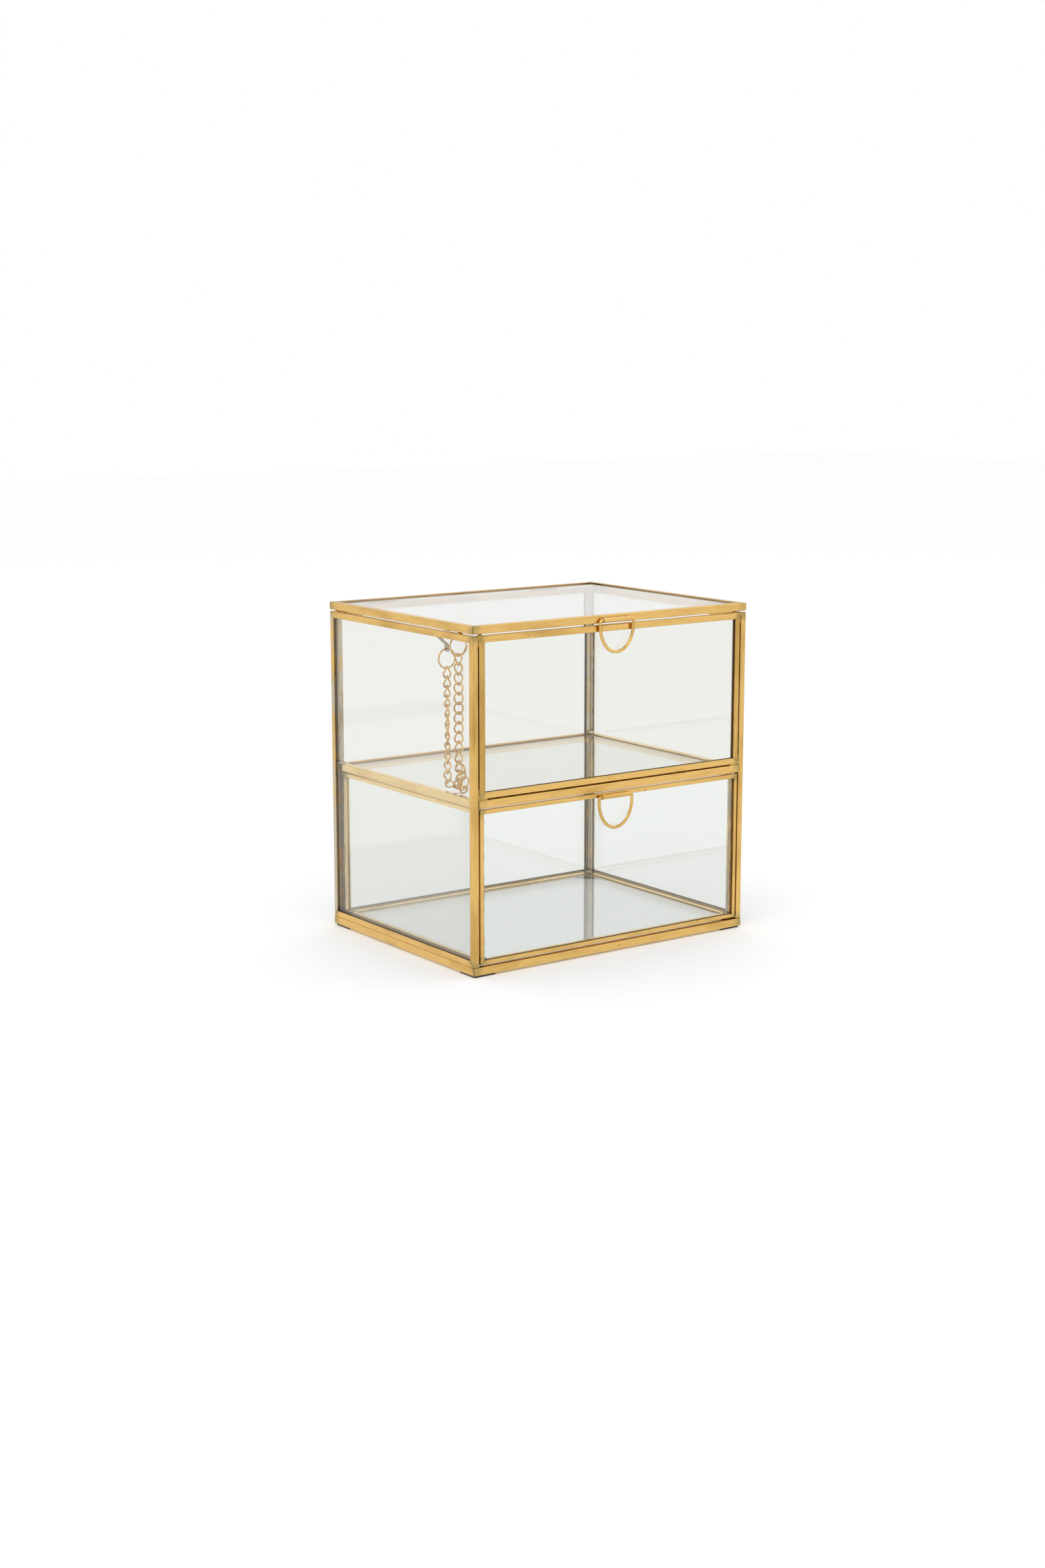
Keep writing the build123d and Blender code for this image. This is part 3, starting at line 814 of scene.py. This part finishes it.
class JEWELBOX_OT_corner_solder(bpy.types.Operator):
    """Run solder down the inside corners and drop it where the frames meet"""
    bl_idname = "jewel_box.corner_solder"
    bl_label = "Corner solder"

    def execute(self, context):
        self.case_corners()
        self.drawer_corners()
        return {"FINISHED"}

    def case_corners(self):
        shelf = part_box("shelf_rails")[1].z
        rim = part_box("back_wall_rails")[1].z
        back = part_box("back_wall_stiles")[0].y
        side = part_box("back_wall_stiles")[1].x
        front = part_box("front_wall_stiles")
        low, high = front
        runs = []
        spots = []
        for across in (-1, 1):
            corner = Vector((across * side, back, 0))
            inward = Vector((-across, -1, 0))
            runs += self.run(corner, (shelf, rim), inward, CASE_RUN_WIDTH)
            runs.append(self.drop(corner, shelf, inward * CASE_DROP_INSET, CASE_DROP))
            gap = (high.x + side) / 2 * across
            for height in (low.z + FRONT_SPOT_INSET, high.z - FRONT_SPOT_INSET):
                spots.append(dab(*FRONT_SPOT, seat(Vector((gap, low.y, height)), "Z", "-Y")))
        finish_piece(join(runs, "case_corner_solder"), solder(), "case")
        finish_piece(join(spots, "front_wall_solder_spots"), solder("Brass solder"), "case")
        self.seams(front, side, shelf)

    def drawer_corners(self):
        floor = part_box("drawer_floor_rails")[1].z
        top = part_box("drawer_back_stiles")[1].z
        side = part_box("drawer_right_stiles")[0].x
        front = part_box("drawer_front_stiles")[1].y
        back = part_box("drawer_back_stiles")[0].y
        runs = []
        for across in (-1, 1):
            for lengthwise, face in ((-1, front), (1, back)):
                corner = Vector((across * side, face, 0))
                inward = Vector((-across, -lengthwise, 0))
                runs += self.run(corner, (floor, top - DRAWER_RUN_TOP), inward, DRAWER_RUN_WIDTH)
                runs.append(self.drop(corner, floor, inward * DRAWER_DROP_INSET, DRAWER_DROP))
        finish_piece(join(runs, "drawer_corner_solder"), solder(), "drawer")

    def seams(self, front, side, shelf):
        """Dark fill deep in the slots round the upper front wall: painted shade of the slots."""
        low, high = front
        depth = (low.y + high.y) / 2
        slots = []
        across = low.x + SEAM_INSET
        while across < high.x - SEAM_INSET:
            spot = Vector((across, depth, (low.z + shelf) / 2 - 0.5 * (low.z - shelf)))
            slots.append(dab(SEAM_LENGTH, SEAM_WIDTH, low.z - shelf, seat(spot, "X", "Z")))
            across += SEAM_STEP
        for way in (-1, 1):
            height = low.z + POST_SEAM_INSET
            while height < high.z - POST_SEAM_INSET:
                place = seat(Vector((way * side, depth, height)), "Z", "-X" if way > 0 else "X")
                slots.append(dab(SEAM_LENGTH, SEAM_WIDTH, side - high.x, place))
                height += SEAM_STEP
        finish_piece(join(slots, "front_wall_slot_shade"), solder("Slot shade"), "case")
        wear(["front_wall_solder"], solder("Brass solder"))

    def drop(self, corner, level, inset, size):
        """A drop at the foot of a corner."""
        return dab(*size, seat(corner + inset + Vector((0, 0, level)), "X", "Z"))

    def run(self, corner, ends, inward, width):
        """Overlapping dabs up an inside corner."""
        foot, top = ends
        dabs = []
        height = foot
        while height < top - RUN_REST:
            length = chance.uniform(*RUN_LENGTHS) * MM
            height = min(height + RUN_OVERLAP * length, top - 0.5 * length)
            inset = inward * chance.uniform(*RUN_INSETS) * width
            spread = width * chance.uniform(*RUN_SPREADS)
            place = seat(Vector((corner.x, corner.y, height)) + inset, "Z", inward.normalized())
            dabs.append(dab(length, spread, RUN_HEIGHT * width, place))
        return dabs


# Lumps that the lid comes down to: length and width, and their places from the back to the front
SIDE_REST = (3.2 * MM, 2.0 * MM)
SIDE_REST_SHARES = (0.035, 0.085, 0.90)
FRONT_REST = (2.6 * MM, 2.0 * MM)
FRONT_REST_INSETS = (1.5 * MM, 2.5 * MM)
REST_FILL = 0.9  # share of the gap below the lid that a lump fills
REST_DULL = 0.1


class JEWELBOX_OT_lid_rests(bpy.types.Operator):
    """Drop the small lumps on the rim that the closed lid comes down to"""
    bl_idname = "jewel_box.lid_rests"
    bl_label = "Lid rests"

    def execute(self, context):
        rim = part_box("left_wall_rails")[1].z
        rise = REST_FILL * (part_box("lid_rails")[0].z - rim)
        lumps = []
        for wall in ("left_wall", "right_wall"):
            low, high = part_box(f"{wall}_rails")
            across = (low.x + high.x) / 2
            for share in SIDE_REST_SHARES:
                spot = Vector((across, high.y + (low.y - high.y) * share, rim))
                lumps.append(dab(*SIDE_REST, rise, seat(spot, "Y", "Z")))
        low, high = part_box("front_wall_rails")
        depth = (low.y + high.y) / 2
        left_inset, right_inset = FRONT_REST_INSETS
        for across in (low.x + left_inset, high.x - right_inset):
            lumps.append(dab(*FRONT_REST, rise, seat(Vector((across, depth, rim)), "X", "Z")))
        finish_piece(join(lumps, "lid_rests"), brass_material("Rest brass", dull=REST_DULL), "case")
        return {"FINISHED"}


# Studio
FLOOR_SIZE = 8
FLOOR_COLOUR = (0.96, 0.96, 0.96, 1)
FLOOR_GLOW = 0.06
FLOOR_MIRRORED_GLOW = 0.75
MATT = 0.9
WHITE = (1, 1, 1, 1)
LAMP_SIZE = 1.2
KEY_PLACE = (-1.1, -0.9, 1.5)
FILL_PLACE = (1.4, -0.5, 1.0)
LENS_SIDE = 36

# Dark cards: degrees round the box from the camera's far side, and distance from the box
CARDS = ((-38, 0.42), (38, 0.42), (78, 0.75), (140, 0.75))
CARD_WIDTH = 0.36
CARD_HEIGHT = 0.42
CARD_COLOUR = (0.06, 0.045, 0.03, 1)
CARD_LEFT_FADE = (0.0, 0.3)
CARD_RIGHT_FADE = (1.0, 0.7)
CARD_TOP_FADE = (0.9, 0.45)


class JEWELBOX_OT_stage(bpy.types.Operator):
    """Set the white studio: floor, lamps, sky and camera"""
    bl_idname = "jewel_box.stage"
    bl_label = "Studio"

    def execute(self, context):
        values = settings().stage
        self.floor()
        self.cards()
        self.sky(values)
        self.lamp("Key lamp", values.key, KEY_PLACE)
        self.lamp("Fill lamp", values.fill, FILL_PLACE)
        self.camera(values)
        context.scene.view_settings.view_transform = "Standard"
        return {"FINISHED"}

    def floor(self):
        """A white floor that shows shadows to the camera and little of them in metal and glass."""
        start_piece()
        bpy.ops.mesh.primitive_plane_add(size=FLOOR_SIZE, location=(0, 0, 0))
        floor = bpy.context.object
        floor.name = "studio_floor"
        shader = Shader("Studio floor")
        shader.surface.inputs["Base Color"].default_value = FLOOR_COLOUR
        shader.surface.inputs["Roughness"].default_value = MATT
        shader.surface.inputs["Emission Color"].default_value = WHITE
        shader.surface.inputs["Emission Strength"].default_value = FLOOR_GLOW
        glow = shader.add("Emission")
        glow.inputs["Color"].default_value = WHITE
        path = shader.add("LightPath")
        seen = shader.both(path.outputs["Is Glossy Ray"], path.outputs["Is Transmission Ray"], "MAXIMUM")
        share = shader.span(seen, 0.0, 1.0, 0.0, FLOOR_MIRRORED_GLOW)
        shader.blend(share, shader.surface.outputs["BSDF"], glow.outputs["Emission"])
        floor.data.materials.append(shader.material)

    def cards(self):
        """Four dark cards round the box, soft at the rim, which only polished metal and glass mirror."""
        paint = self.card_paint()
        for number, (aside, away) in enumerate(CARDS, 1):
            start_piece()
            bpy.ops.mesh.primitive_plane_add(size=1)
            card = bpy.context.object
            card.name = f"studio_card_{number}"
            heading = Matrix.Rotation(settings().stage.camera_azimuth - math.radians(aside), 4, "Z")
            upright = Matrix.Rotation(math.pi / 2, 4, "X")
            stand = Matrix.Translation((0, away, CARD_HEIGHT / 2)) @ upright
            settle(card, heading @ stand @ Matrix.Diagonal((CARD_WIDTH, CARD_HEIGHT, 1, 1)))
            for ray in ("camera", "diffuse", "transmission", "shadow"):
                setattr(card, f"visible_{ray}", False)
            card.data.materials.append(paint)

    def card_paint(self):
        """Dark paint that thins out towards both sides and the top."""
        shader = Shader("Studio card")
        shader.surface.inputs["Base Color"].default_value = CARD_COLOUR
        shader.surface.inputs["Roughness"].default_value = MATT
        shader.place = shader.add("TexCoord").outputs["UV"]
        left = shader.span(shader.along("X"), *CARD_LEFT_FADE)
        right = shader.span(shader.along("X"), *CARD_RIGHT_FADE)
        top = shader.span(shader.along("Y"), *CARD_TOP_FADE)
        solid = shader.both(shader.both(left, right), top)
        bare = shader.add("BsdfTransparent")
        shader.blend(solid, bare.outputs["BSDF"], shader.surface.outputs["BSDF"])
        return shader.material

    def sky(self, values):
        """Even light all round, which looks pure white where it is seen or mirrored."""
        world = bpy.context.scene.world or bpy.data.worlds.new("Studio sky")
        bpy.context.scene.world = world
        world.use_nodes = True
        tree = world.node_tree
        background = tree.nodes["Background"]
        background.inputs["Color"].default_value = WHITE
        path = tree.nodes.new("ShaderNodeLightPath")
        seen = path.outputs["Is Camera Ray"]
        for ray in ("Is Glossy Ray", "Is Transmission Ray"):
            either = tree.nodes.new("ShaderNodeMath")
            either.operation = "MAXIMUM"
            tree.links.new(seen, either.inputs[0])
            tree.links.new(path.outputs[ray], either.inputs[1])
            seen = either.outputs["Value"]
        strength = tree.nodes.new("ShaderNodeMapRange")
        strength.inputs["To Min"].default_value = values.sky
        strength.inputs["To Max"].default_value = 1.0
        tree.links.new(seen, strength.inputs["Value"])
        tree.links.new(strength.outputs["Result"], background.inputs["Strength"])

    def lamp(self, name, power, place):
        """A wide lamp that points at the middle of the floor."""
        lamp = bpy.data.lights.new(name, "AREA")
        lamp.energy = power
        lamp.size = LAMP_SIZE
        holder = bpy.data.objects.new(name, lamp)
        holder.location = place
        holder.rotation_euler = (-Vector(place)).to_track_quat("-Z", "Y").to_euler()
        bpy.context.collection.objects.link(holder)

    def camera(self, values):
        """The camera at its place, turned to its azimuth and elevation."""
        lens = bpy.data.cameras.new("Camera")
        lens.lens = values.lens
        lens.sensor_width = LENS_SIDE
        azimuth = values.camera_azimuth
        elevation = values.camera_elevation
        back = Vector((
            math.sin(azimuth) * math.cos(elevation),
            -math.cos(azimuth) * math.cos(elevation),
            math.sin(elevation)))
        right = Vector((math.cos(azimuth), math.sin(azimuth), 0))
        turn = Matrix((right, back.cross(right), back)).transposed().to_4x4()
        camera = bpy.data.objects.new("Camera", lens)
        camera.matrix_world = Matrix.Translation(values.camera_place) @ turn
        bpy.context.collection.objects.link(camera)
        bpy.context.scene.camera = camera


OPERATORS = (
    JEWELBOX_OT_glass,
    JEWELBOX_OT_channels,
    JEWELBOX_OT_pads,
    JEWELBOX_OT_hinges,
    JEWELBOX_OT_pulls,
    JEWELBOX_OT_chain,
    JEWELBOX_OT_mitre_solder,
    JEWELBOX_OT_corner_solder,
    JEWELBOX_OT_lid_rests,
    JEWELBOX_OT_stage,
)


class JEWELBOX_PT_sidebar(bpy.types.Panel):
    """Settings and steps of the jewelry box"""
    bl_idname = "JEWELBOX_PT_sidebar"
    bl_label = "Jewelry Box"
    bl_space_type = "VIEW_3D"
    bl_region_type = "UI"
    bl_category = "Jewelry Box"

    def draw(self, context):
        for group in SETTINGS:
            column = self.layout.column(align=True)
            column.label(text=group.capitalize())
            values = getattr(settings(), group)
            for key in values.bl_rna.properties.keys():
                if key not in ("rna_type", "name"):
                    column.prop(values, key)
        for operator in OPERATORS:
            self.layout.operator(operator.bl_idname)


CLASSES = (*SETTINGS.values(), JewelBoxSettings, *OPERATORS, JEWELBOX_PT_sidebar)


def register():
    for item in CLASSES:
        bpy.utils.register_class(item)
    bpy.types.Scene.jewel_box = bpy.props.PointerProperty(type=JewelBoxSettings)


def unregister():
    del bpy.types.Scene.jewel_box
    for item in reversed(CLASSES):
        bpy.utils.unregister_class(item)


def main():
    register()
    for operator in OPERATORS:
        group, step = operator.bl_idname.split(".")
        getattr(getattr(bpy.ops, group), step)()


if __name__ == "__main__":
    main()
